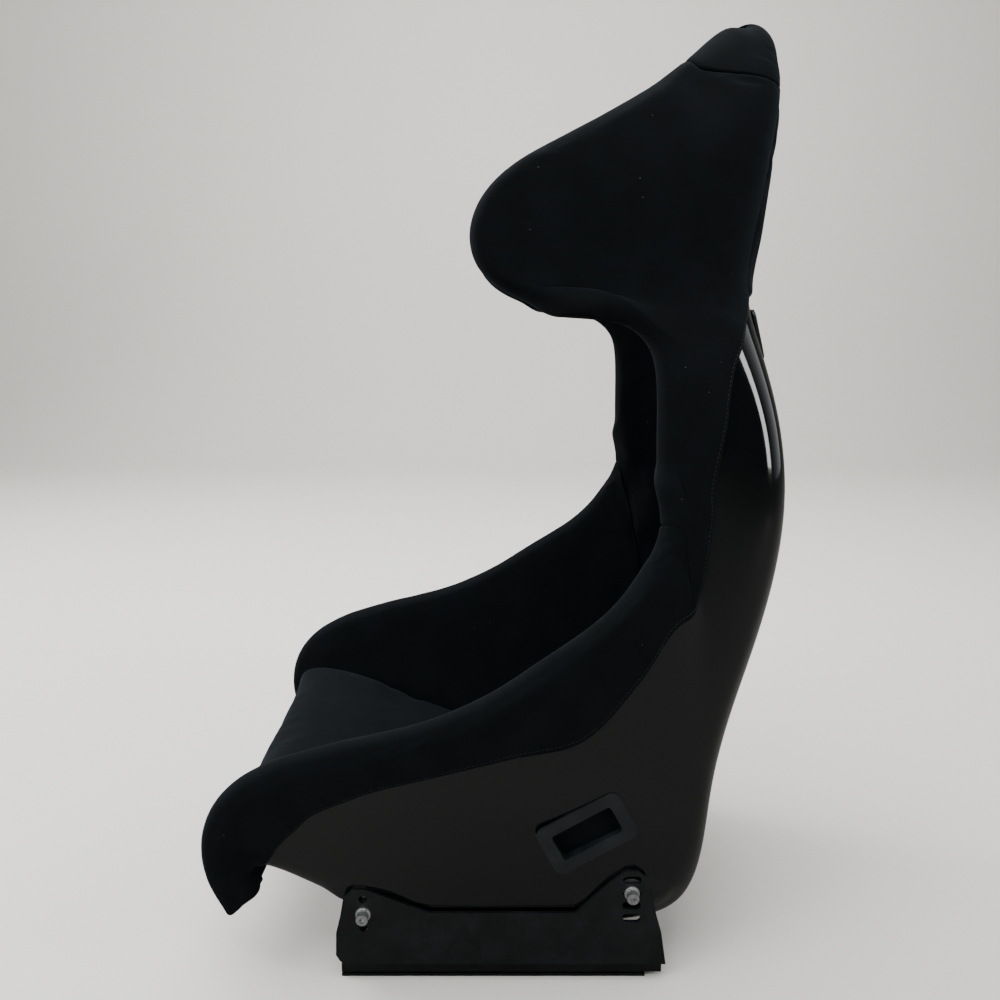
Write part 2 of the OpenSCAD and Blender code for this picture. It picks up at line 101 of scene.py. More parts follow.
def surf(s, t):
    """Middle of the shell wall: s along from the front lip, t from -1 (right rim) to 1 (left)."""
    s, t = np.broadcast_arrays(np.asarray(s, float), np.asarray(t, float))
    i, wi = spline_weights(s, LAST)
    j, wj = spline_weights((t + 1) / 2 * ACROSS, ACROSS)
    out = np.zeros(s.shape + (3,))
    for a in range(4):
        for b in range(4):
            out += (wi[..., a] * wj[..., b])[..., None] * NET[i + a, j + b]
    return out


def unit(v):
    return v / (np.linalg.norm(v, axis=-1, keepdims=True) + 1e-12)


def along(s, t):
    return unit(surf(np.minimum(s + 0.02, LAST), t) - surf(np.maximum(s - 0.02, 0), t))


def across(s, t):
    return unit(surf(s, np.minimum(t + 0.01, 1)) - surf(s, np.maximum(t - 0.01, -1)))


def normal(s, t):
    """Points to the driver."""
    t = np.clip(t, -0.999, 0.999)
    return unit(np.cross(across(s, t), along(s, t)))


def off(s, t, d):
    """Point d mm off the middle of the wall, to the driver if d is positive."""
    s, t, d = np.broadcast_arrays(np.asarray(s, float), np.asarray(t, float), np.asarray(d, float))
    return surf(s, t) + d[..., None] * normal(s, t)


def smooth(x):
    """Soft step from 0 to 1."""
    x = np.clip(x, 0, 1)
    return x * x * (3 - 2 * x)


def track(s, pairs):
    """Smooth value along s through a few (s, value) pairs."""
    xs, ys = np.array([p[0] for p in pairs], float), np.array([p[1] for p in pairs], float)
    m = np.gradient(ys, xs)
    s = np.clip(s, xs[0], xs[-1])
    i = np.clip(np.searchsorted(xs, s, side="right") - 1, 0, len(xs) - 2)
    h = xs[i + 1] - xs[i]
    f = (s - xs[i]) / h
    return ((2 * f ** 3 - 3 * f ** 2 + 1) * ys[i] + (f ** 3 - 2 * f ** 2 + f) * h * m[i]
            + (-2 * f ** 3 + 3 * f ** 2) * ys[i + 1] + (f ** 3 - f ** 2) * h * m[i + 1])


def distance(P, axis=0):
    """Distance run along each path of points, from 0 at its start."""
    total = np.cumsum(np.linalg.norm(np.diff(P, axis=axis), axis=-1), axis=axis)
    return np.concatenate([np.zeros_like(np.take(total, [0], axis)), total], axis)


def even_rows(s0, s1, step, t):
    """Values of s about one step (mm) apart, as a mean of the line at t and the rim."""
    fine = np.linspace(s0, s1, 400)
    run = (distance(surf(fine, t)) + distance(surf(fine, 1.0))) / 2
    return np.interp(np.linspace(0, run[-1], max(4, int(run[-1] / step))), run, fine)


# ---------------------------------------------------------------- meshes
def shade_smooth(obj):
    obj.data.polygons.foreach_set("use_smooth", [True] * len(obj.data.polygons))
    obj.data.update()


def in_scene(name, data):
    """A new object of this data, linked into the scene."""
    obj = bpy.data.objects.new(name, data)
    bpy.context.collection.objects.link(obj)
    return obj


def make_object(name, verts, faces, material=None):
    """Verts in mm; the object stays at the origin with its place in its mesh."""
    mesh = bpy.data.meshes.new(name)
    mesh.from_pydata([tuple(v) for v in np.asarray(verts, float) * MM], [], faces)
    mesh.validate()
    obj = in_scene(name, mesh)
    if material:
        mesh.materials.append(material)
    shade_smooth(obj)
    return obj


def outward(obj):
    """Joins doubled points and turns every face outwards."""
    bm = bmesh.new()
    bm.from_mesh(obj.data)
    bmesh.ops.remove_doubles(bm, verts=bm.verts, dist=2e-6)
    bmesh.ops.recalc_face_normals(bm, faces=bm.faces)
    bm.to_mesh(obj.data)
    bm.free()
    shade_smooth(obj)


def closed_sheet(name, A, B, material):
    """Closed solid between two grids of points, front A and back B."""
    m, n = A.shape[:2]
    k = m * n
    idx = np.arange(k).reshape(m, n)
    q = np.stack([idx[:-1, :-1], idx[:-1, 1:], idx[1:, 1:], idx[1:, :-1]], -1).reshape(-1, 4)
    faces = q.tolist() + (q[:, ::-1] + k).tolist()
    ring = list(idx[0, :]) + list(idx[1:, -1]) + list(idx[-1, -2::-1]) + list(idx[-2:0:-1, 0])
    for a, b in zip(ring, ring[1:] + ring[:1]):
        faces.append([int(b), int(a), int(a) + k, int(b) + k])
    obj = make_object(name, np.concatenate([A.reshape(-1, 3), B.reshape(-1, 3)]), faces, material)
    outward(obj)
    return obj


def mirrored(obj, name):
    """The same piece on the right side."""
    mesh = obj.data.copy()
    mesh.name = name
    mesh.transform(MIRROR)
    mesh.flip_normals()
    return in_scene(name, mesh)


def apply_modifiers(obj):
    """Makes the result of the modifiers the object's own mesh."""
    dg = bpy.context.evaluated_depsgraph_get()
    mesh = bpy.data.meshes.new_from_object(obj.evaluated_get(dg))
    old = obj.data
    obj.modifiers.clear()
    obj.data = mesh
    bpy.data.meshes.remove(old)
    return obj


def cut(obj, cutters):
    """Takes the cutters out of the piece and removes them."""
    for c in cutters:
        mod = obj.modifiers.new("cut", "BOOLEAN")
        mod.operation, mod.solver, mod.object = "DIFFERENCE", "EXACT", c
    bpy.context.view_layer.update()
    apply_modifiers(obj)
    for c in cutters:
        bpy.data.objects.remove(c, do_unlink=True)
    shade_smooth(obj)
    return obj


def rounded_loop(w, h, r, steps=8):
    """Rounded rectangle, anticlockwise, about its centre."""
    pts = []
    for cx, cy, a0 in ((w / 2 - r, h / 2 - r, 0), (r - w / 2, h / 2 - r, 90),
                       (r - w / 2, r - h / 2, 180), (w / 2 - r, r - h / 2, 270)):
        for k in range(steps + 1):
            a = math.radians(a0 + 90 * k / steps)
            pts.append((cx + r * math.cos(a), cy + r * math.sin(a)))
    return pts


def place_on(s, t, turn=0.0):
    """4x4 in mm at a point of the shell: x across, y up the shell, z to the driver."""
    s, t = np.array([s]), np.array([t])
    p, n, a = surf(s, t)[0], normal(s, t)[0], across(s, t)[0]
    v = np.cross(n, a)
    m = Matrix([[a[0], v[0], n[0], p[0]], [a[1], v[1], n[1], p[1]], [a[2], v[2], n[2], p[2]],
                [0, 0, 0, 1]])
    return m @ Matrix.Rotation(math.radians(turn), 4, "Z")


def loop_block(name, place, w, h, r, z0, z1):
    """Rounded block used as a cutter."""
    loop = rounded_loop(w, h, r)
    n = len(loop)
    verts = [place @ Vector((x, y, z)) for z in (z0, z1) for x, y in loop]
    faces = [list(range(n))[::-1], list(range(n, 2 * n))]
    faces += [[i, (i + 1) % n, n + (i + 1) % n, n + i] for i in range(n)]
    obj = make_object(name, [tuple(v) for v in verts], faces)
    outward(obj)
    return obj


# Belt openings: places on the shell, tilt of the lap openings in degrees, width and height in mm
LAP_S, LAP_T, LAP_TILT = 6.68, 0.668, 28.0
SHOULDER_S, SHOULDER_T, CROTCH_S = 16.2, 0.183, 4.3
LAP_HOLE, SHOULDER_HOLE, CROTCH_HOLE = (77, 40), (65, 39), (77, 37)
HOLE_CORNER, HOLE_REACH = 6, 14     # corner radius, and reach of a cutter each side of the wall, mm
MIRROR = Matrix.Scale(-1, 4, Vector((1, 0, 0)))


def lap_place():
    """Frame of the left lap belt opening: x along the seat, z to the driver."""
    p = surf(LAP_S, LAP_T)
    m = Matrix.Translation(Vector(p)) @ Matrix.Rotation(math.radians(LAP_TILT), 4, "X")
    m = m @ Matrix.Rotation(math.radians(4), 4, "Z") @ Matrix.Rotation(math.radians(-84), 4, "Y")
    return m @ Matrix.Rotation(math.radians(90), 4, "Z")


# ---------------------------------------------------------------- materials
def rgb(hex_colour):
    """sRGB hex to linear RGBA."""
    out = []
    for k in (1, 3, 5):
        c = int(hex_colour[k:k + 2], 16) / 255
        out.append(c / 12.92 if c <= 0.04045 else ((c + 0.055) / 1.055) ** 2.4)
    return (*out, 1.0)


def add(tree, kind, settings=(), links=()):
    """Adds a node, sets what is given, and links (input, from node, output)."""
    n = tree.nodes.new(kind)
    for key, value in dict(settings).items():
        if isinstance(key, str) and hasattr(n, key) and key not in n.inputs:
            setattr(n, key, value)
        else:
            n.inputs[key].default_value = value
    for socket, source, output in links:
        tree.links.new(source.outputs[output], n.inputs[socket])
    return n


def new_material(name, **shader):
    mat = bpy.data.materials.new(name)
    mat.use_nodes = True
    tree = mat.node_tree
    bsdf = tree.nodes["Principled BSDF"]
    for key, value in shader.items():
        bsdf.inputs[key.replace("_", " ")].default_value = value
    coords = add(tree, "ShaderNodeTexCoord")
    return mat, tree, bsdf, coords


def noise(tree, co, scale, detail, roughness=0.5):
    """Noise in object space; its features are about 1 / scale metres across."""
    return add(tree, "ShaderNodeTexNoise", {"Scale": scale, "Detail": detail, "Roughness": roughness},
               [("Vector", co, "Object")])


def remap(tree, source, output, low, high, to_low=0.0, to_high=1.0):
    """Takes the range low to high of an output to another range."""
    return add(tree, "ShaderNodeMapRange",
               {"From Min": low, "From Max": high, "To Min": to_low, "To Max": to_high},
               [("Value", source, output)])


def blend(tree, tone, colour, other):
    """Mix of two colours by a remapped value."""
    mix = add(tree, "ShaderNodeMix", {"data_type": "RGBA"}, [("Factor", tone, "Result")])
    mix.inputs[6].default_value, mix.inputs[7].default_value = colour, other
    return mix


def emboss(tree, bsdf, texture, strength, depth):
    """Bump of a depth in metres, on top of any bump that the shader has."""
    bump = add(tree, "ShaderNodeBump", {"Strength": strength, "Distance": depth},
               [("Height", texture, "Fac")])
    socket = bsdf.inputs["Normal"]
    if socket.links:
        tree.links.new(socket.links[0].from_socket, bump.inputs["Normal"])
    tree.links.new(bump.outputs["Normal"], socket)


def velour(name, colour, nap):
    """Brushed knit velour: short pile over foam, dark face on and paler where the pile is seen edge on."""
    mat, tree, bsdf, co = new_material(name, Roughness=0.92, Sheen_Weight=0.14, Sheen_Roughness=0.38)
    bsdf.inputs["Sheen Tint"].default_value = rgb("#577084")
    bsdf.inputs["Specular IOR Level"].default_value = 0.12
    # pile tufts of 0.7 mm, drawn coarser than the real 0.2 mm so that they show
    tuft = noise(tree, co, 1400.0, 2.0, 0.7)
    # hand-brushed clouds in the nap, about 40 mm across
    cloud = noise(tree, co, 24.0, 3.0, 0.55)
    # lint: rare pale specks under 1 mm
    lint = add(tree, "ShaderNodeTexVoronoi", {"Scale": 115.0, "feature": "F1", "Randomness": 1.0},
               [("Vector", co, "Object")])
    dot = add(tree, "ShaderNodeMath", {"operation": "LESS_THAN", 1: 0.045}, [(0, lint, "Distance")])
    pick = add(tree, "ShaderNodeSeparateColor", {}, [("Color", lint, "Color")])
    rare = add(tree, "ShaderNodeMath", {"operation": "GREATER_THAN", 1: 0.93}, [(0, pick, "Red")])
    speck = add(tree, "ShaderNodeMath", {"operation": "MULTIPLY"}, [(0, dot, "Value"), (1, rare, "Value")])
    base = blend(tree, remap(tree, cloud, "Fac", 0.3, 0.7), colour, nap)
    grain = remap(tree, tuft, "Fac", 0.25, 0.75, 0.72, 1.28)
    shade = add(tree, "ShaderNodeVectorMath", {"operation": "SCALE"},
                [(0, base, 2), ("Scale", grain, "Result")])
    final = add(tree, "ShaderNodeMix", {"data_type": "RGBA"}, [("Factor", speck, "Value"), (6, shade, 0)])
    final.inputs[7].default_value = rgb("#6f7074")
    tree.links.new(final.outputs[2], bsdf.inputs["Base Color"])
    emboss(tree, bsdf, tuft, 0.35, 0.0004)
    emboss(tree, bsdf, cloud, 0.25, 0.003)
    return mat


def gelcoat(name, colour):
    """Black polyester gelcoat from a polished mould: clear, deep gloss with slight ripple over the glass."""
    mat, tree, bsdf, co = new_material(name, IOR=1.5, Coat_Weight=0.6, Coat_Roughness=0.04)
    bsdf.inputs["Base Color"].default_value = colour
    # wiping smears of about 110 mm, and the glass print-through, ripples about 26 mm across
    rough = remap(tree, noise(tree, co, 9.0, 5.0, 0.65), "Fac", 0.35, 0.75, 0.05, 0.17)
    tree.links.new(rough.outputs["Result"], bsdf.inputs["Roughness"])
    emboss(tree, bsdf, noise(tree, co, 38.0, 2.0), 0.06, 0.002)
    return mat


def satin_skin(name, colour, edge):
    """Satin black skin, powder coat on steel or moulded nylon: fine orange peel, slightly rubbed."""
    mat, tree, bsdf, co = new_material(name, IOR=1.5)
    # rubbed patches of about 33 mm, orange peel of about 1.1 mm
    rub = noise(tree, co, 30.0, 6.0, 0.7)
    mix = blend(tree, remap(tree, rub, "Fac", 0.45, 0.8), colour, edge)
    tree.links.new(mix.outputs[2], bsdf.inputs["Base Color"])
    rough = remap(tree, rub, "Fac", 0.3, 0.8, 0.34, 0.52)
    tree.links.new(rough.outputs["Result"], bsdf.inputs["Roughness"])
    emboss(tree, bsdf, noise(tree, co, 900.0, 2.0), 0.3, 0.0003)
    return mat


def bright_metal(name, colour, dull, rough):
    """Zinc plate or turned alloy: clean metal, clouded by its passivate or oxide."""
    mat, tree, bsdf, co = new_material(name, Metallic=1.0, Roughness=rough)
    # clouds of about 4.5 mm, fine marks of about 0.6 mm
    mix = blend(tree, remap(tree, noise(tree, co, 220.0, 4.0), "Fac", 0.3, 0.7), colour, dull)
    tree.links.new(mix.outputs[2], bsdf.inputs["Base Color"])
    emboss(tree, bsdf, noise(tree, co, 1600.0, 2.0), 0.12, 0.0002)
    return mat


def shaded(tree, bsdf, colour, level, output):
    """Base colour of one hue, made lighter or darker by an output."""
    shade = add(tree, "ShaderNodeVectorMath", {"operation": "SCALE"}, [("Scale", level, output)])
    shade.inputs[0].default_value = colour[:3]
    tree.links.new(shade.outputs[0], bsdf.inputs["Base Color"])


def grained(name, colour, roughness, scale, detail, strength, depth):
    """One colour broken up by a fine grain, which also roughens the surface."""
    mat, tree, bsdf, co = new_material(name, Roughness=roughness)
    grain = noise(tree, co, scale, detail)
    shaded(tree, bsdf, colour, remap(tree, grain, "Fac", 0, 1, 0.6, 1.4), "Result")
    emboss(tree, bsdf, grain, strength, depth)
    return mat


def moulded_rubber(name, colour):
    """Compression-moulded nitrile rubber: dead matt with a mould grain of about 0.9 mm."""
    return grained(name, colour, 0.78, 1100.0, 3.0, 0.3, 0.0003)


def bonded_thread(name, colour):
    """Bonded nylon upholstery thread: plies of about 0.4 mm that catch the light unevenly."""
    return grained(name, colour, 0.55, 2500.0, 1.0, 0.4, 0.0002)


def cotton_sheet(name, colour):
    """Plain pale cotton under and behind the seat; black flags keep most of it out of the gloss."""
    mat, tree, bsdf, co = new_material(name, Roughness=0.95)
    bsdf.inputs["Specular IOR Level"].default_value = 0.2
    # unevenness of about 1.4 mm
    tone = remap(tree, noise(tree, co, 700.0, 2.0), "Fac", 0, 1, 0.97, 1.03)
    flag = remap(tree, add(tree, "ShaderNodeLightPath"), "Is Glossy Ray", 0, 1, 1.0, 0.15)
    level = add(tree, "ShaderNodeMath", {"operation": "MULTIPLY"}, [(0, tone, "Result"), (1, flag, "Result")])
    shaded(tree, bsdf, colour, level, "Value")
    return mat


# ---------------------------------------------------------------- sewn and padded pieces
def lattice_noise(P, size, seed):
    """Smooth noise from -1 to 1 with features of one size, in mm."""
    rng = np.random.default_rng(seed)
    grid = rng.uniform(-1, 1, (16, 16, 16))
    q = P / size + 100.0
    i = np.floor(q).astype(int)
    f = q - i
    f = f * f * (3 - 2 * f)
    out = np.zeros(P.shape[:-1])
    for a in (0, 1):
        for b in (0, 1):
            for c in (0, 1):
                w = ((f[..., 0] if a else 1 - f[..., 0]) * (f[..., 1] if b else 1 - f[..., 1])
                     * (f[..., 2] if c else 1 - f[..., 2]))
                out += w * grid[(i[..., 0] + a) % 16, (i[..., 1] + b) % 16, (i[..., 2] + c) % 16]
    return out


def puff(obj, held, pressure, slack, most, frames=20):
    """Cloth simulation: the held vertices stay on the shell, the cover fills out and wrinkles."""
    mesh = obj.data
    start = np.empty(len(mesh.vertices) * 3)
    mesh.vertices.foreach_get("co", start)
    group = obj.vertex_groups.new(name="held")
    group.add([int(i) for i in np.nonzero(held)[0]], 1.0, "REPLACE")
    mod = obj.modifiers.new("cloth", "CLOTH")
    mod.settings.quality = 5
    mod.settings.mass = 0.25
    mod.settings.tension_stiffness = mod.settings.compression_stiffness = 12
    mod.settings.shear_stiffness = 4
    mod.settings.bending_stiffness = 0.3
    mod.settings.tension_damping = mod.settings.compression_damping = 8
    mod.settings.vertex_group_mass = "held"
    mod.settings.use_pressure = True
    mod.settings.uniform_pressure_force = pressure
    mod.settings.shrink_min = -slack
    mod.settings.effector_weights.gravity = 0
    mod.collision_settings.use_collision = False
    mod.collision_settings.use_self_collision = False
    mod.point_cache.frame_start, mod.point_cache.frame_end = 1, frames
    for f in range(1, frames + 1):
        bpy.context.scene.frame_set(f)
    apply_modifiers(obj)
    bpy.context.scene.frame_set(1)
    mesh = obj.data
    end = np.empty(len(mesh.vertices) * 3)
    mesh.vertices.foreach_get("co", end)
    move = (end - start).reshape(-1, 3)
    size = np.linalg.norm(move, axis=1, keepdims=True)
    limit = most * MM
    move *= limit * np.tanh(size / limit) / np.maximum(size, 1e-9)
    mesh.vertices.foreach_set("co", (start.reshape(-1, 3) + move).ravel())
    obj.vertex_groups.clear()
    mesh.update()
    return obj


def refine(obj):
    mod = obj.modifiers.new("subdivision", "SUBSURF")
    mod.levels = mod.render_levels = 1
    apply_modifiers(obj)
    shade_smooth(obj)
    return obj


def grid_normals(A):
    return unit(np.cross(np.gradient(A, axis=1), np.gradient(A, axis=0)))


def sewn(name, A, B, material, pressure, slack, most, seed, rough=None, pinned_ends=False):
    """Closed cover between its outer face A and the face B that lies on the shell; most is in mm."""
    if rough is None:
        rough = settings().wrinkle / MM
    N = grid_normals(A)
    N = N * np.sign(np.sum(N * (A - B)))
    m, n = A.shape[:2]
    to_edge = np.minimum(np.minimum(np.arange(m), np.arange(m)[::-1])[:, None],
                         np.minimum(np.arange(n), np.arange(n)[::-1])[None])
    wave = rough * (lattice_noise(A, 46, seed) + 0.4 * lattice_noise(A, 19, seed + 7))
    A = A + N * (wave * np.minimum(1, to_edge / 3))[..., None]
    obj = closed_sheet(name, A, B, material)
    fixed = [B.reshape(-1, 3), A[:, 0], A[:, -1]]
    if pinned_ends:
        fixed += [A[0], A[-1]]
    fixed = {tuple(p) for p in np.round(np.concatenate(fixed) * 0.5, 1)}
    held = np.array([tuple(np.round(np.array(v.co[:]) / MM * 0.5, 1)) in fixed
                     for v in obj.data.vertices])
    puff(obj, held, pressure, slack, most)
    return refine(obj)


def pad_grid(s0, s1, t0, t1, height, step, side=1):
    """Outer and contact grids of a pad on the shell; height is a function of (s, t) in mm."""
    rows = even_rows(s0, s1, step, 0.0)
    mid = (s0 + s1) / 2
    width = distance(surf(mid, np.linspace(t0, t1, 40)))[-1]
    cols = np.linspace(t0, t1, int(width / step))
    s, t = np.meshgrid(rows, cols, indexing="ij")
    h = height(s, t)
    return off(s, t, side * (GAP + h)), off(s, t, np.full(s.shape, side * GAP))


def edge_run(s, t, s0, s1, t0, t1):
    """Distance in mm to the nearest edge of a pad, along s and along t."""
    ahead, behind = surf(np.clip(s + 0.1, 0, LAST), t), surf(np.clip(s - 0.1, 0, LAST), t)
    ds = np.linalg.norm(ahead - behind, axis=-1) / 0.2
    dt = np.linalg.norm(surf(s, t + 0.02) - surf(s, t - 0.02), axis=-1) / 0.04
    return np.minimum(s - s0, s1 - s) * ds, np.minimum(t - t0, t1 - t) * dt


def pillow(x, r):
    """Rounded rise from 0 at the edge to 1 at r mm from it."""
    q = np.clip(x / r, 0, 1)
    return np.sqrt(np.maximum(0, 1 - (1 - q) ** 2))


def cover_grid(rim, foot, out, turn, hi, rim_h, ho, n_in=24, n_roll=13, n_out=14, foot_r=22.0,
               reach=0.0):
    """Grids of a cover that rolls over the rim: rim, foot and out are (s, t) per row, turn is the
    outward direction at the rim, hi, rim_h and ho are the heights inside, at the rim and outside in
    mm per row, and reach makes the roll stand higher over the rim."""
    u = np.linspace(0, 1, n_in)[None, :]
    si = foot[:, :1] + (rim[:, :1] - foot[:, :1]) * u
    ti = foot[:, 1:] + (rim[:, 1:] - foot[:, 1:]) * u
    run = distance(surf(si, ti), 1)
    left = run[:, -1:] - run
    rise = pillow(run + 0.6, foot_r)
    level = hi[:, None] + (rim_h - hi)[:, None] * smooth(1 - left / 60)
    A1, B1 = off(si, ti, GAP + level * rise), off(si, ti, np.full(si.shape, GAP))
    P, N = surf(rim[:, 0], rim[:, 1]), normal(rim[:, 0], rim[:, 1])
    b = unit(turn - np.sum(turn * N, -1, keepdims=True) * N)
    a = np.linspace(0, math.pi, n_roll + 2)[1:-1]
    mid, R = (rim_h - ho) / 2, (2 * GAP + rim_h + ho) / 2
    c, s = np.cos(a)[None, :, None], np.sin(a)[None, :, None]
    tall = (R + reach)[:, None, None]
    A2 = P[:, None] + N[:, None] * (mid[:, None, None] + R[:, None, None] * c) + b[:, None] * tall * s
    B2 = P[:, None] + N[:, None] * GAP * c + b[:, None] * GAP * s
    v = np.linspace(0, 1, n_out)[None, :]
    so = rim[:, :1] + (out[:, :1] - rim[:, :1]) * v
    to = rim[:, 1:] + (out[:, 1:] - rim[:, 1:]) * v
    run = distance(surf(so, to), 1)
    left = run[:, -1:] - run
    thick = ho[:, None] * (0.55 + 0.45 * pillow(left + 0.4, 4.0))
    A3, B3 = off(so, to, -(GAP + thick)), off(so, to, np.full(so.shape, -GAP))
    return np.concatenate([A1, A2, A3], 1), np.concatenate([B1, B2, B3], 1)


def spaced_path(points, n):
    """Points spread evenly in the order given, by real length on the shell."""
    pts = np.array(points, float)
    fine = []
    for p, q in zip(pts[:-1], pts[1:]):
        fine.append(p + (q - p) * np.linspace(0, 1, 60, endpoint=False)[:, None])
    fine = np.concatenate(fine + [pts[-1:]])
    run = distance(surf(fine[:, 0], fine[:, 1]))
    w = np.linspace(0, run[-1], n)
    return np.stack([np.interp(w, run, fine[:, 0]), np.interp(w, run, fine[:, 1])], 1)


def keyed(a, pairs):
    """Smooth (s, t) curve keyed to a path's own parameter."""
    return np.stack([track(a, [(p[0], p[1]) for p in pairs]),
                     track(a, [(p[0], p[2]) for p in pairs])], 1)


def rim_frames(rim, spread):
    """Outward direction at each rim point, square to the rim and turned smoothly through a corner."""
    P, N = surf(rim[:, 0], rim[:, 1]), normal(rim[:, 0], rim[:, 1])
    step = np.diff(P, axis=0)
    moving = np.linalg.norm(step, axis=1) > 1e-6
    T = np.where(moving[:, None], step, np.nan)
    T = np.concatenate([T[:1], T])
    T[:-1] = np.where(np.isnan(T[1:]) | np.isnan(T[:-1]), T[:-1], unit(T[1:]) + unit(T[:-1]))
    known = np.nonzero(~np.isnan(T[:, 0]))[0]
    T = np.stack([np.interp(np.arange(len(T)), known, unit(T[known])[:, i]) for i in range(3)], 1)
    d = unit(np.cross(unit(T), N))
    outward = np.sign(np.sum(d[-1] * (P[-1] - surf(rim[-1, 0] * 0.98, rim[-1, 1] * 0.9))))
    k = np.ones(2 * spread + 1) / (2 * spread + 1)
    pad = np.concatenate([np.repeat(d[:1], spread, 0), d, np.repeat(d[-1:], spread, 0)])
    return outward * unit(np.stack([np.convolve(pad[:, i], k, "valid") for i in range(3)], 1))


THIGH_OUT = [(-0.6, 0.5, 0.40), (0.0, 1.3, 0.43), (0.3, 1.8, 0.45), (0.7, 2.2, 0.50), (1.2, 2.55, 0.585),
             (1.8, 2.85, 0.665), (2.8, 3.3, 0.755), (3.4, 3.61, 0.812), (4.0, 4.06, 0.850),
             (4.5, 4.43, 0.872), (5.2, 5.11, 0.882), (6.0, 5.9, 0.868), (7.0, 6.9, 0.832), (8.0, 8.0, 0.866),
             (9.3, 9.3, 0.862), (10.15, 10.15, 0.807)]
WAIST = 10.13       # where the thigh cover meets the torso cover


def thigh_cover(name, material, fullness, seed):
    rim = spaced_path([(0, 0.405), (0, 0.8), (0, 1.0), (WAIST + 0.03, 1.0)], 200)
    q = np.where(rim[:, 0] > 1e-6, rim[:, 0], rim[:, 1] - 1)
    rim, q, _ = fanned(rim, q, 0.0, 9)
    run = distance(surf(rim[:, 0], rim[:, 1]))
    foot = keyed(q, [(-0.6, 0.9, 0.40), (0, 1.5, 0.425), (0.9, 2.2, 0.425), (2, 2.9, 0.425),
                     (3, 3.6, 0.425), (4, 4.5, 0.425), (5, 5.3, 0.425), (6.5, 6.6, 0.425),
                     (8.3, 8.3, 0.42), (10.15, 10.15, 0.41)])
    out = keyed(q, THIGH_OUT)
    ends = (0.86 + 0.14 * pillow(run[-1] - run + 0.3, 4)) * (0.35 + 0.65 * pillow(run + 0.5, 26))
    roll = track(q, [(-0.6, 4.6), (0, 4.8), (0.7, 8), (1.8, 12), (6, 12.5), (10.15, 13)]) * fullness
    hi = track(q, [(-0.6, 4), (0, 6), (1.8, 15), (6, 17), (10.15, 16)]) * fullness
    ho = np.full(len(q), 2.6)
    A, B = cover_grid(rim, foot, out, rim_frames(rim, 4), hi * ends, (2 * roll - 2 * GAP - ho) * ends,
                      ho * (0.3 + 0.7 * ends))
    return sewn(name, A, B, material, pressure=2.0, slack=0.015, most=3.0, seed=seed, pinned_ends=True)


def fanned(rim, a, s_corner, extra):
    """Repeats the corner point of a rim path so that the cover can turn round it."""
    k = int(np.argmin(np.abs(rim[:, 1] - 1.0) + np.abs(rim[:, 0] - s_corner) * 10))
    rim = np.concatenate([rim[:k], np.repeat([[float(s_corner), 1.0]], extra, 0), rim[k + 1:]])
    a = np.concatenate([a[:k], np.linspace(a[k - 1], a[k + 1], extra + 2)[1:-1], a[k + 1:]])
    return rim, a, k + extra // 2


SIDE_OUT = [(WAIST, WAIST, 0.807), (10.7, 10.7, 0.785), (11.55, 11.55, 0.752), (12.4, 12.4, 0.748),
            (12.84, 12.84, 0.764), (13.41, 13.41, 0.757), (14.04, 14.04, 0.735), (14.7, 14.7, 0.700),
            (15.3, 15.3, 0.635), (15.82, 15.82, 0.553), (16.43, 16.43, 0.465), (17.0, 17.0, 0.38),
            (17.6, 17.6, 0.335), (21.3, 21.3, 0.335), (22.3, 21.9, 0.335), (23.0, 22.12, 0.32),
            (23.3, 22.16, 0.24), (24.0, 22.18, 0.0)]
SEAM = 22.3         # where the wing cover meets the top roll


def upper_grids(fullness):
    """Grids of the left cover from the waist up the side and over the top to the middle, and
    the row at which the top roll starts."""
    rows = even_rows(WAIST, LAST, 5.6, 1.0)
    top = spaced_path([(LAST, 1.0), (LAST, 0.5), (LAST, 0.0)], 26)
    rim = np.concatenate([np.stack([rows, np.ones(len(rows))], 1), top[1:]])
    q = np.where(rim[:, 0] < LAST - 1e-6, rim[:, 0], LAST + 1 - rim[:, 1])
    rim, q, _ = fanned(rim, q, LAST, 13)
    foot = keyed(q, [(WAIST, WAIST, 0.41), (16, 16, 0.395), (21.3, 21.3, 0.388), (22.3, 21.9, 0.38),
                     (23.0, 22.12, 0.35), (23.3, 22.18, 0.25), (24.0, 22.2, 0.0)])
    out = keyed(q, SIDE_OUT)
    run = distance(surf(rim[:, 0], rim[:, 1]))
    split = int(np.argmin(np.abs(q - SEAM)))
    ends = (0.86 + 0.14 * pillow(run + 0.3, 4)) * (1 - 0.04 * np.exp(-((run - run[split]) / 6) ** 2))
    roll = track(q, [(WAIST, 13), (15.5, 14), (16.8, 15.5), (18, 16), (21, 16.5), (22.3, 20.5), (22.8, 25),
                     (23.2, 27.5), (24, 25.5)]) * fullness
    hi = track(q, [(WAIST, 16), (15.5, 17), (17, 21), (21.3, 22), (24, 21)]) * fullness
    ho = track(q, [(WAIST, 2.6), (15.6, 2.8), (16.6, 3.6), (17.6, 6), (18.8, 10.4), (21.3, 11),
                   (23, 13), (24, 13)])
    reach = track(q, [(WAIST, 0), (21.6, 0), (22.4, 3), (23.0, 8), (23.3, 8), (24.0, 5)])
    A, B = cover_grid(rim, foot, out, rim_frames(rim, 6), hi * ends, (2 * roll - 2 * GAP - ho) * ends,
                      ho * (0.5 + 0.5 * ends), reach=reach)
    return A, B, split


def side_cover(name, material, fullness, seed):
    A, B, split = upper_grids(fullness)
    return sewn(name, A[:split + 1], B[:split + 1], material, pressure=2.0, slack=0.015, most=3.0, seed=seed,
                pinned_ends=True)


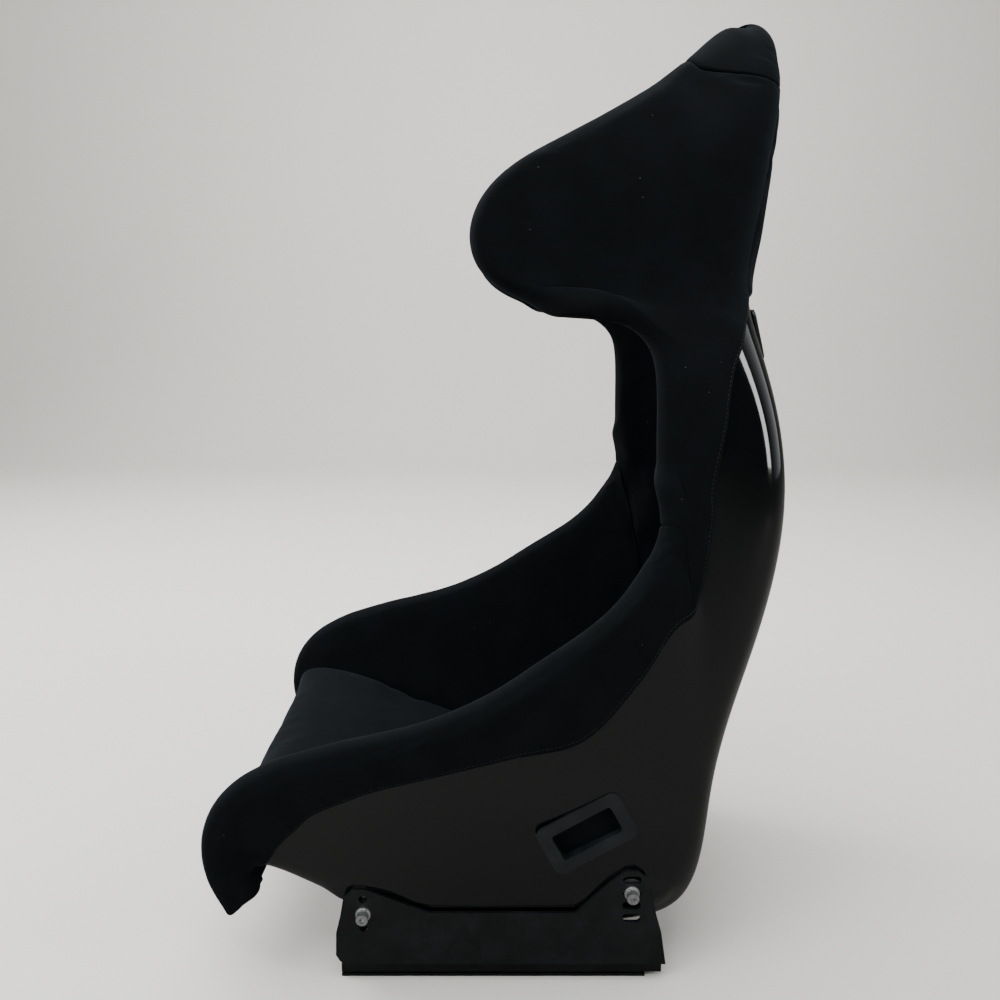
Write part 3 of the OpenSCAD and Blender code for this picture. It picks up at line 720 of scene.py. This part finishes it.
def head_roll(name, material, fullness):
    """Broad roll over the top of the head wings, sewn to the wing covers along a soft crease."""
    A, B, split = upper_grids(fullness)
    flip = np.array([-1, 1, 1])
    A = np.concatenate([A[split:], A[-2:split - 1:-1] * flip])
    B = np.concatenate([B[split:], B[-2:split - 1:-1] * flip])
    return sewn(name, A, B, material, pressure=1.5, slack=0.0, most=1.5, seed=5, pinned_ends=True)


CUSHION_START, CUSHION_END = 0.25, 7.94     # front lip, and where the lumbar pad starts
PAD_SEAM = 12.08                            # where the lumbar pad meets the back pad
CUSHION_HALF, CUSHION_WIDTH = 0.415, 420    # in t, and in mm
# Side outline of the cushion top, front lip to rear: s, y, z in mm
CUSHION_TOP = [(CUSHION_START, -263, 122), (0.6, -275, 138), (1.0, -284, 163), (1.35, -287, 187),
               (1.65, -281, 202), (2.0, -262, 207), (2.6, -222, 202), (3.2, -178, 190),
               (3.8, -135, 173), (4.4, -90, 154), (5.0, -45, 134), (5.8, 14, 113), (6.6, 78, 94),
               (7.3, 126, 82), (7.7, 160, 75), (CUSHION_END, 184, 61)]


def cushion_grid(step):
    """The top panel follows its side outline across the middle and rounds down at both sides."""
    rows = even_rows(CUSHION_START, CUSHION_END, step, 0.0)
    top = np.stack([np.zeros(len(rows)), track(rows, [(p[0], p[1]) for p in CUSHION_TOP]),
                    track(rows, [(p[0], p[2]) for p in CUSHION_TOP])], 1)
    lift = top - off(rows, np.zeros(len(rows)), np.full(len(rows), GAP))
    cols = np.linspace(-CUSHION_HALF, CUSHION_HALF, int(CUSHION_WIDTH / step))
    s, t = np.meshgrid(rows, cols, indexing="ij")
    _, dt = edge_run(s, t, CUSHION_START, CUSHION_END, -CUSHION_HALF, CUSHION_HALF)
    B = off(s, t, np.full(s.shape, GAP))
    dip = 1 - 0.06 * np.cos(t / CUSHION_HALF * math.pi / 2) ** 2
    return B + (pillow(dt + 0.4, 26) * dip)[..., None] * lift[:, None] + normal(s, t) * 0.8, B


BACK_COVER = (17.05, 22.3, -0.395, 0.395)   # s from, s to, t from, t to


def back_cover_height(s, t):
    """Height in mm of the cover behind the head, thinner at its lower hem."""
    ds, dt = edge_run(s, t, *BACK_COVER)
    return 0.8 + 9.8 * pillow(ds + 0.4, 8) * pillow(dt + 0.4, 8) * (0.4 + 0.6 * smooth((s - 17.2) / 1.6))


def pad_height(s0, s1, tw, h, r):
    """Height function of a pad h mm thick with edges rounded to r mm."""
    def f(s, t):
        ds, dt = edge_run(s, t, s0, s1, -tw, tw)
        return 0.8 + (h - 0.8) * pillow(ds + 0.4, r) * pillow(dt + 0.4, r)
    return f


# ---------------------------------------------------------------- stitches
def stitch_tree(material):
    """Geometry Nodes: one thread stitch on every point of a seam line, lying along it."""
    tree = bpy.data.node_groups.new("seam stitches", "GeometryNodeTree")
    face = tree.interface
    face.new_socket("Geometry", in_out="INPUT", socket_type="NodeSocketGeometry")
    for label, value in (("Pitch", 0.0045), ("Stitch length", 0.0031), ("Thread radius", 0.00034)):
        sock = face.new_socket(label, in_out="INPUT", socket_type="NodeSocketFloat")
        sock.default_value = value
    seed = face.new_socket("Seed", in_out="INPUT", socket_type="NodeSocketInt")
    seed.default_value = 3
    face.new_socket("Geometry", in_out="OUTPUT", socket_type="NodeSocketGeometry")
    gin, gout = tree.nodes.new("NodeGroupInput"), tree.nodes.new("NodeGroupOutput")
    curve = add(tree, "GeometryNodeMeshToCurve", {}, [("Mesh", gin, "Geometry")])
    even = add(tree, "GeometryNodeResampleCurve", {"mode": "LENGTH"},
               [("Curve", curve, "Curve"), ("Length", gin, "Pitch")])
    tangent = add(tree, "GeometryNodeInputTangent")
    turn = add(tree, "FunctionNodeAlignRotationToVector", {"axis": "Z"}, [("Vector", tangent, "Tangent")])
    capsule = add(tree, "GeometryNodeMeshUVSphere", {"Segments": 8, "Rings": 6},
                  [("Radius", gin, "Thread radius")])
    ratio = add(tree, "ShaderNodeMath", {"operation": "DIVIDE"},
                [(0, gin, "Stitch length"), (1, gin, "Thread radius")])
    half = add(tree, "ShaderNodeMath", {"operation": "MULTIPLY", 1: 0.5}, [(0, ratio, "Value")])
    jitter = add(tree, "FunctionNodeRandomValue", {"data_type": "FLOAT", 2: 0.9, 3: 1.1},
                 [("Seed", gin, "Seed")])
    length = add(tree, "ShaderNodeMath", {"operation": "MULTIPLY"}, [(0, half, "Value"), (1, jitter, 1)])
    size = add(tree, "ShaderNodeCombineXYZ", {"X": 1.0, "Y": 1.0}, [("Z", length, "Value")])
    inst = add(tree, "GeometryNodeInstanceOnPoints", {},
               [("Points", even, "Curve"), ("Instance", capsule, "Mesh"), ("Rotation", turn, "Rotation"),
                ("Scale", size, "Vector")])
    real = add(tree, "GeometryNodeRealizeInstances", {}, [("Geometry", inst, "Instances")])
    paint = add(tree, "GeometryNodeSetMaterial", {"Material": material}, [("Geometry", real, "Geometry")])
    tree.links.new(paint.outputs["Geometry"], gout.inputs["Geometry"])
    return tree


def seam_line(name, pts, tree, cloth, pitch, lift=0.0002):
    """Stitches along a line of points in mm, laid on the face of a cover."""
    bvh = BVHTree.FromObject(cloth, bpy.context.evaluated_depsgraph_get())
    verts = []
    for p in pts:
        p = Vector(p) * MM
        spot, face, _, far = bvh.find_nearest(p)
        verts.append(spot + face * lift if spot is not None and far < 0.03 else p)
    mesh = bpy.data.meshes.new(name)
    mesh.from_pydata(verts, [(i, i + 1) for i in range(len(verts) - 1)], [])
    obj = in_scene(name, mesh)
    mod = obj.modifiers.new("stitches", "NODES")
    mod.node_group = tree
    for item in tree.interface.items_tree:
        if item.item_type == "SOCKET" and item.in_out == "INPUT" and item.name == "Pitch":
            mod[item.identifier] = pitch
    apply_modifiers(obj)
    shade_smooth(obj)
    return obj


# ---------------------------------------------------------------- sizes and colours a user may change
def colour_setting(name, description, hex_colour):
    return bpy.props.FloatVectorProperty(
        name=name, description=description, default=rgb(hex_colour)[:3],
        subtype="COLOR", size=3, min=0.0, max=1.0)


class RacingSeatSettings(bpy.types.PropertyGroup):
    velour_colour: colour_setting("Velour colour", "Face of the seat covers", "#030608")
    nap_colour: colour_setting(
        "Brushed nap colour", "Velour where the pile lies the other way", "#060a0e")
    gelcoat_colour: colour_setting("Gelcoat colour", "Outside of the moulded shell", "#030506")
    steel_colour: colour_setting("Powder coat colour", "Brackets and rails", "#06090c")
    stitch_pitch: bpy.props.FloatProperty(
        name="Stitch pitch", description="Distance from one stitch to the next", default=0.0045,
        min=0.003, max=0.008, unit="LENGTH")
    roll_fullness: bpy.props.FloatProperty(
        name="Edge roll fullness",
        description="Size of the padded rolls over the rim, against the shell's own",
        default=1.0, min=0.9, max=1.05, subtype="FACTOR")
    wrinkle: bpy.props.FloatProperty(
        name="Cover unevenness", description="Height of the slow dents and bulges in the sewn covers",
        default=0.0007, min=0.0, max=0.002, unit="LENGTH")


def settings():
    return bpy.context.scene.racing_seat


MATERIALS = {}


def material(key):
    """The material of one finish, made the first time that it is asked for."""
    if key not in MATERIALS:
        p = settings()

        def chosen(c):
            return (*c, 1.0)
        makers = {
            "velour": lambda: velour("Black brushed velour", chosen(p.velour_colour), chosen(p.nap_colour)),
            "gelcoat": lambda: gelcoat("Black polyester gelcoat", chosen(p.gelcoat_colour)),
            "steel": lambda: satin_skin("Satin black powder coat", chosen(p.steel_colour), rgb("#13171b")),
            "bezel": lambda: satin_skin("Moulded black nylon", rgb("#11161a"), rgb("#1a2025")),
            "zinc": lambda: bright_metal("Bright zinc plated steel", rgb("#eceded"), rgb("#c4c6c8"), 0.40),
            "alloy": lambda: bright_metal("Turned aluminium alloy", rgb("#b9babc"), rgb("#8d8f92"), 0.35),
            "rubber": lambda: moulded_rubber("Nitrile rubber grip", rgb("#101010")),
            "thread": lambda: bonded_thread("Bonded nylon thread", rgb("#0b0b0c")),
            "sheet": lambda: cotton_sheet("Pale cotton backdrop", rgb("#eae8e2")),
        }
        MATERIALS[key] = makers[key]()
    return MATERIALS[key]


def done(obj):
    """Tells the frame what the piece rides on, and that a soft piece is padded."""
    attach(obj, "seat")
    return obj


PLATE_X = 208.0     # inner face of the bracket plates, mm
FLUSH_MOST = 7      # the wall moves out no further than this, mm


def flush_side(P):
    """Shift that flattens the shell wall against the upper edge of the side brackets."""
    x, y, z = np.abs(P[..., 0]), P[..., 1], P[..., 2]
    w = smooth((z - 70) / 24) * (1 - smooth((z - 106) / 14))
    w = w * smooth((y + 192) / 25) * (1 - smooth((y - 178) / 22)) * smooth((x - 190) / 9)
    out = np.zeros(P.shape)
    out[..., 0] = np.sign(P[..., 0]) * w * np.clip(PLATE_X - x, 0, FLUSH_MOST)
    return out


# ---------------------------------------------------------------- operators, one per piece or group
class SEAT_OT_shell(bpy.types.Operator):
    """Moulded shell with its belt openings"""
    bl_idname = "seat.shell"
    bl_label = "Shell"

    def execute(self, context):
        rows = even_rows(0, LAST, 5.0, 0.9)
        cols = np.linspace(-1, 1, 121)
        s, t = np.meshgrid(rows, cols, indexing="ij")
        A, B = off(s, t, np.full(s.shape, WALL)), off(s, t, np.full(s.shape, -WALL))
        flat = flush_side(surf(s, t))
        A, B = A + flat, B + flat
        shell = closed_sheet("moulded_shell", A, B, material("gelcoat"))

        def hole(place, size):
            return loop_block("cut_hole", place, *size, HOLE_CORNER, -HOLE_REACH, HOLE_REACH)
        cutters = [hole(lap_place(), LAP_HOLE), hole(lap_place(), LAP_HOLE)]
        cutters[-1].data.transform(MIRROR)
        cutters[-1].data.flip_normals()
        for side in (1, -1):
            cutters.append(hole(place_on(SHOULDER_S, side * SHOULDER_T), SHOULDER_HOLE))
        cutters.append(hole(place_on(CROTCH_S, 0), CROTCH_HOLE))
        cut(shell, cutters)
        if len(shell.data.polygons) < 1000:
            raise RuntimeError("the shell lost its faces in the cut")
        mod = shell.modifiers.new("edge split", "EDGE_SPLIT")
        mod.split_angle = math.radians(55)
        apply_modifiers(shell)
        done(shell)
        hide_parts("shell")
        return {"FINISHED"}


class SEAT_OT_cushion(bpy.types.Operator):
    """Seat cushion over the front lip, with the crotch belt opening"""
    bl_idname = "seat.cushion"
    bl_label = "Seat cushion"

    def execute(self, context):
        A, B = cushion_grid(6.5)
        obj = sewn("sewn_seat_cushion", A, B, material("velour"), pressure=1.5, slack=0.02, most=3.5, seed=11)
        cut(obj, [loop_block("cut_crotch", place_on(CROTCH_S, 0), 100, 56, 14, -20, 160)])
        done(obj)
        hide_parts("seat_cushion")
        return {"FINISHED"}


class SEAT_OT_back_pads(bpy.types.Operator):
    """Lumbar, back and head pads, and the cover behind the head"""
    bl_idname = "seat.back_pads"
    bl_label = "Back and head pads"

    def execute(self, context):
        # piece, node, s from, s to, half width in t, height and edge radius in mm, seed
        for name, node, s0, s1, tw, h, r, seed in (
                ("sewn_lumbar_pad", "lumbar_pad", CUSHION_END, PAD_SEAM, 0.425, 23, 22, 21),
                ("sewn_back_pad", "back_pad", PAD_SEAM, 15.62, 0.425, 17.5, 20, 23),
                ("sewn_head_pad", "head_pad", 16.8, 22.35, 0.415, 21.5, 22, 25)):
            A, B = pad_grid(s0, s1, -tw, tw, pad_height(s0, s1, tw, h, r), 6.0)
            obj = sewn(name, A, B, material("velour"), pressure=2.0, slack=0.03, most=3.5, seed=seed)
            done(obj)
            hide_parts(node)
        A, B = pad_grid(*BACK_COVER, back_cover_height, 6.0, side=-1)
        obj = sewn("sewn_head_back_cover", A, B, material("velour"), pressure=1.5, slack=0.02, most=1.5,
                   seed=27, rough=0.5 * settings().wrinkle / MM)
        done(obj)
        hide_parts("head_back_cover")
        return {"FINISHED"}


class SEAT_OT_thigh_covers(bpy.types.Operator):
    """Covers rolled over the thigh bolsters and the front lip"""
    bl_idname = "seat.thigh_covers"
    bl_label = "Thigh covers"

    def execute(self, context):
        left = thigh_cover("sewn_thigh_cover_left", material("velour"), settings().roll_fullness, 31)
        right = mirrored(left, "sewn_thigh_cover_right")
        for obj, side in ((left, "left"), (right, "right")):
            done(obj)
            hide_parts("thigh_bolster_" + side)
        return {"FINISHED"}


class SEAT_OT_side_covers(bpy.types.Operator):
    """Covers over the torso bolsters and head wings, one piece each side"""
    bl_idname = "seat.side_covers"
    bl_label = "Side covers"

    def execute(self, context):
        left = side_cover("sewn_side_cover_left", material("velour"), settings().roll_fullness, 41)
        right = mirrored(left, "sewn_side_cover_right")
        for obj, side in ((left, "left"), (right, "right")):
            done(obj)
            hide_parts("torso_bolster_" + side, "wing_pad_" + side)
        return {"FINISHED"}


class SEAT_OT_head_roll(bpy.types.Operator):
    """Padded roll over the top edge"""
    bl_idname = "seat.head_roll"
    bl_label = "Head top roll"

    def execute(self, context):
        obj = head_roll("sewn_head_top_roll", material("velour"), settings().roll_fullness)
        done(obj)
        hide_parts("head_top_roll")
        return {"FINISHED"}


class SEAT_OT_stitching(bpy.types.Operator):
    """Hem stitches along the free edges of the covers"""
    bl_idname = "seat.stitching"
    bl_label = "Stitching"

    def execute(self, context):
        tree = stitch_tree(material("thread"))
        pitch = settings().stitch_pitch
        for side, sign in (("left", 1), ("right", -1)):
            thigh = bpy.data.objects["sewn_thigh_cover_" + side]
            torso = bpy.data.objects["sewn_side_cover_" + side]
            q = np.linspace(1.0, 10.1, 260)
            st = keyed(q, THIGH_OUT)
            low = off(st[:, 0], sign * (st[:, 1] + 0.012), np.full(len(q), -6.0))
            s = np.linspace(10.2, 17.0, 240)
            st = keyed(s, SIDE_OUT)
            high = off(s, sign * (st[:, 1] + 0.012), np.full(len(s), -6.0))
            for tag, pts, cloth in (("thigh", low, thigh), ("torso", high, torso)):
                done(seam_line("hem_stitches_%s_%s" % (tag, side), pts, tree, cloth, pitch))
        return {"FINISHED"}


class SEAT_OT_hardware(bpy.types.Operator):
    """Finishes of the bezels, brackets, fasteners, rails and release bar"""
    bl_idname = "seat.hardware"
    bl_label = "Brackets, rails and fasteners"

    def execute(self, context):
        finish = {"bezel": "bezel", "bracket": "steel", "rail": "steel", "latch": "steel",
                  "release_bar": "steel", "flange_screws": "steel", "side_bolts": "zinc",
                  "washers": "zinc", "ball_cage": "zinc", "pivot": "zinc",
                  "thread_inserts": "alloy", "bar_grip": "rubber"}
        soft_edge = {"bezel": 0.0008, "bracket": 0.0006, "rail": 0.0004, "side_bolts": 0.00025}
        for name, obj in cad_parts.items():
            key = next((finish[k] for k in finish if k in name), None)
            if key is None:
                continue
            obj.data.materials.clear()
            obj.data.materials.append(material(key))
            size = next((soft_edge[k] for k in soft_edge if k in name), None)
            if size:
                mod = obj.modifiers.new("eased edges", "BEVEL")
                mod.width, mod.segments, mod.limit_method = size, 2, "ANGLE"
                mod.angle_limit = math.radians(40)
                mod.harden_normals = False
        return {"FINISHED"}


class SEAT_OT_stage(bpy.types.Operator):
    """Pale floor and backdrop, soft lights and the camera"""
    bl_idname = "seat.stage"
    bl_label = "Stage"

    def execute(self, context):
        # floor that sweeps up into the backdrop, in mm: starts at flat, turns with a radius of bend
        flat, bend, half = 3200, 1200, 7000
        arc = [(-6000, 0), (flat, 0)]
        arc += [(flat + bend * math.sin(a), bend - bend * math.cos(a))
                for a in np.linspace(0.1, math.pi / 2, 14)]
        arc += [(flat + bend, 6000)]
        n = len(arc)
        verts = [(-x, k * half, z) for k in (-1, 1) for x, z in arc]
        faces = [[i, i + 1, n + i + 1, n + i] for i in range(n - 1)]
        make_object("floor", verts, faces, material("sheet"))
        scene = context.scene
        world = bpy.data.worlds.new("soft room")
        world.use_nodes = True
        tree = world.node_tree
        back = tree.nodes["Background"]
        # unlit room in front of the seat, pale wall behind it
        co = add(tree, "ShaderNodeTexCoord")
        xyz = add(tree, "ShaderNodeSeparateXYZ", {}, [("Vector", co, "Generated")])
        side = remap(tree, xyz, "X", 0.35, -0.45, 0.05, 0.9)
        back.inputs["Color"].default_value = rgb("#f4f6fa")
        ray = add(tree, "ShaderNodeLightPath")
        seen = add(tree, "ShaderNodeMix", {"data_type": "FLOAT", 3: 0.8},
                   [(0, ray, "Is Camera Ray"), (2, side, "Result")])
        tree.links.new(seen.outputs[0], back.inputs["Strength"])
        scene.world = world

        def lamp(name, place, target, size, power):
            data = bpy.data.lights.new(name, "AREA")
            data.shape, data.size, data.size_y = "RECTANGLE", size[0], size[1]
            data.energy = power
            obj = in_scene(name, data)
            obj.location = place
            obj.rotation_euler = (Vector(target) - Vector(place)).to_track_quat("-Z", "Y").to_euler()
        lamp("overhead softbox", (0.7, -0.2, 2.6), (0, 0, 0.4), (1.8, 2.4), 70)
        lamp("backdrop softbox", (-0.9, 0.0, 2.9), (-3.6, 0, 1.2), (3.0, 1.2), 130)
        lamp("rear strip", (1.3, 2.2, 1.3), (0.1, 0.3, 0.4), (0.5, 1.8), 26)
        lamp("front softbox", (1.6, -2.4, 1.6), (0, 0, 0.5), (1.6, 1.6), 40)
        lamp("front fill", (-0.9, -2.6, 1.9), (0, 0, 0.5), (1.4, 1.4), 60)
        cam = bpy.data.cameras.new("camera")
        cam.lens, cam.sensor_width = 36.0, 36.0
        obj = in_scene("camera", cam)
        obj.location = (1.1875, 0.003, 0.734)
        obj.rotation_euler = (math.radians(90 - 11.31), 0, math.radians(90))
        scene.camera = obj
        return {"FINISHED"}


class SEAT_PT_panel(bpy.types.Panel):
    bl_label = "Racing seat"
    bl_idname = "SEAT_PT_panel"
    bl_space_type = "VIEW_3D"
    bl_region_type = "UI"
    bl_category = "Racing seat"

    def draw(self, context):
        box = self.layout.column()
        for key in RacingSeatSettings.__annotations__:
            box.prop(context.scene.racing_seat, key)
        for op in OPERATORS:
            box.operator(op.bl_idname)


OPERATORS = (SEAT_OT_shell, SEAT_OT_cushion, SEAT_OT_back_pads, SEAT_OT_thigh_covers, SEAT_OT_side_covers,
             SEAT_OT_head_roll, SEAT_OT_stitching, SEAT_OT_hardware, SEAT_OT_stage)
CLASSES = (RacingSeatSettings,) + OPERATORS + (SEAT_PT_panel,)


def register():
    for c in CLASSES:
        bpy.utils.register_class(c)
    bpy.types.Scene.racing_seat = bpy.props.PointerProperty(type=RacingSeatSettings)


def unregister():
    del bpy.types.Scene.racing_seat
    for c in reversed(CLASSES):
        bpy.utils.unregister_class(c)


def main():
    register()
    bpy.ops.seat.shell()
    bpy.ops.seat.cushion()
    bpy.ops.seat.back_pads()
    bpy.ops.seat.thigh_covers()
    bpy.ops.seat.side_covers()
    bpy.ops.seat.head_roll()
    bpy.ops.seat.stitching()
    bpy.ops.seat.hardware()
    bpy.ops.seat.stage()


if __name__ == "__main__":
    main()
